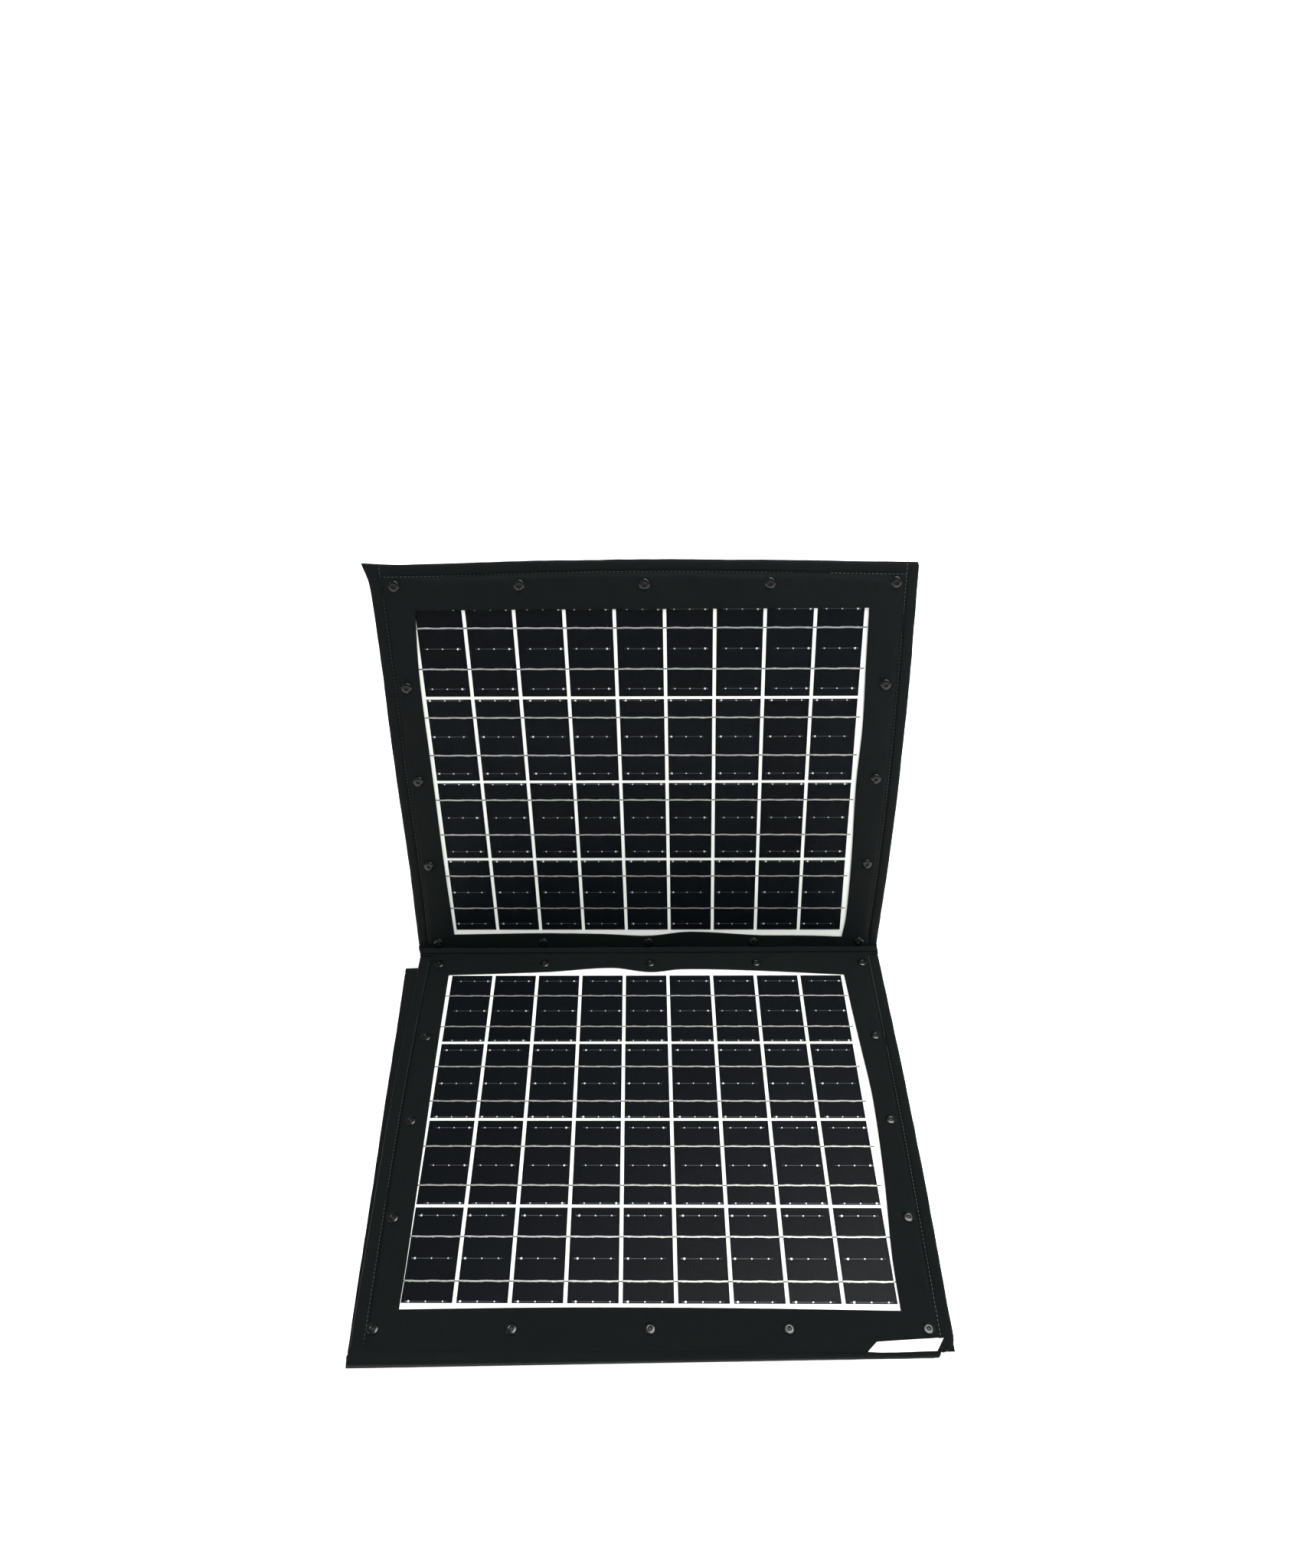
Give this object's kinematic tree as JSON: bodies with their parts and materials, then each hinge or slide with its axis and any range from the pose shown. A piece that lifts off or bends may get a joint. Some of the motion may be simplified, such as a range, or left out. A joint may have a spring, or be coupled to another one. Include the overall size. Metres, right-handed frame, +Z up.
{
  "type": "folding solar suitcase",
  "caption": "Fabric-covered folding solar panel that opens like a suitcase: a propped leaf, a flat leaf and more leaves folded beneath, with a wire stand at the back.",
  "frame": {"origin": "middle of the folded stack's flat underside, where it rests on the ground", "axes": "+Z up, +X along the folds to the user's right, +Y away from the user towards the propped leaf"},
  "size_m": [0.4739, 0.5391, 0.394],
  "materials": {
    "cover_fabric": "black woven polyester, coated, matt",
    "stiffener_board": "glass-fibre board, plain",
    "backsheet": "white laminated sheet, satin",
    "solar_cell": "blue-black silicon cells with silver ribbons",
    "front_film": "clear laminated polymer film, gloss",
    "rivet": "black gloss enamel on aluminium",
    "stand_tube": "bent tube, satin anodised",
    "foot_rubber": "matt moulded sleeve",
    "moulded_plastic": "fine-textured black moulding",
    "label": "blank white woven tape"
  },
  "bodies": {
    "lower_leaf": {"lower_back_cover": "cover_fabric", "lower_board": "stiffener_board", "lower_backsheet": "backsheet", "lower_cell_strings": "solar_cell", "lower_front_film": "front_film", "lower_bezel": "cover_fabric", "lower_rivet_01": "rivet", "lower_rivet_02": "rivet", "lower_rivet_03": "rivet", "lower_rivet_04": "rivet", "lower_rivet_05": "rivet", "lower_rivet_06": "rivet", "lower_rivet_07": "rivet", "lower_rivet_08": "rivet", "lower_rivet_09": "rivet", "lower_rivet_10": "rivet", "lower_rivet_11": "rivet", "lower_rivet_12": "rivet", "lower_rivet_13": "rivet", "lower_rivet_14": "rivet", "lower_rivet_15": "rivet", "lower_rivet_16": "rivet", "label": "label", "upper_fold_roll": "cover_fabric", "back_fold_roll": "cover_fabric"},
    "upper_leaf": {"upper_back_cover": "cover_fabric", "upper_board": "stiffener_board", "upper_backsheet": "backsheet", "upper_cell_strings": "solar_cell", "upper_front_film": "front_film", "upper_bezel": "cover_fabric", "upper_rivet_01": "rivet", "upper_rivet_02": "rivet", "upper_rivet_03": "rivet", "upper_rivet_04": "rivet", "upper_rivet_05": "rivet", "upper_rivet_06": "rivet", "upper_rivet_07": "rivet", "upper_rivet_08": "rivet", "upper_rivet_09": "rivet", "upper_rivet_10": "rivet", "upper_rivet_11": "rivet", "upper_rivet_12": "rivet", "upper_rivet_13": "rivet", "upper_rivet_14": "rivet", "upper_rivet_15": "rivet", "upper_rivet_16": "rivet", "junction_box": "moulded_plastic", "stand_bracket_left": "moulded_plastic", "stand_bracket_right": "moulded_plastic"},
    "third_leaf": {"third_back_cover": "cover_fabric", "third_panel": "solar_cell", "third_bezel": "cover_fabric", "under_fold_roll": "cover_fabric"},
    "fourth_leaf": {"fourth_back_cover": "cover_fabric", "fourth_panel": "solar_cell", "fourth_bezel": "cover_fabric"},
    "stand": {"stand_frame": "stand_tube", "stand_foot_left": "foot_rubber", "stand_foot_right": "foot_rubber"}
  },
  "joints": [
    {"name": "upper_fold", "type": "hinge", "parent": "lower_leaf", "child": "upper_leaf", "pos_m": [0, 0.2, 0.0164], "axis": [1, 0, 0], "range_deg": [-76.15, 103.85]},
    {"name": "back_fold", "type": "hinge", "parent": "lower_leaf", "child": "third_leaf", "pos_m": [0, -0.198, 0.01085], "axis": [0.9999, 0.0157, 0], "range_deg": [-180, 0]},
    {"name": "under_fold", "type": "hinge", "parent": "third_leaf", "child": "fourth_leaf", "pos_m": [-0.01219, 0.18981, 0.0053], "axis": [0.9995, 0.0314, 0], "range_deg": [0, 180]},
    {"name": "stand_fold", "type": "hinge", "parent": "upper_leaf", "child": "stand", "pos_m": [-0.0019, 0.29858, 0.36905], "axis": [1, 0, 0], "range_deg": [-18.8, 0]}
  ],
  "couplings": [
    {"joint": "under_fold", "follows": "back_fold", "ratio": -1}
  ]
}
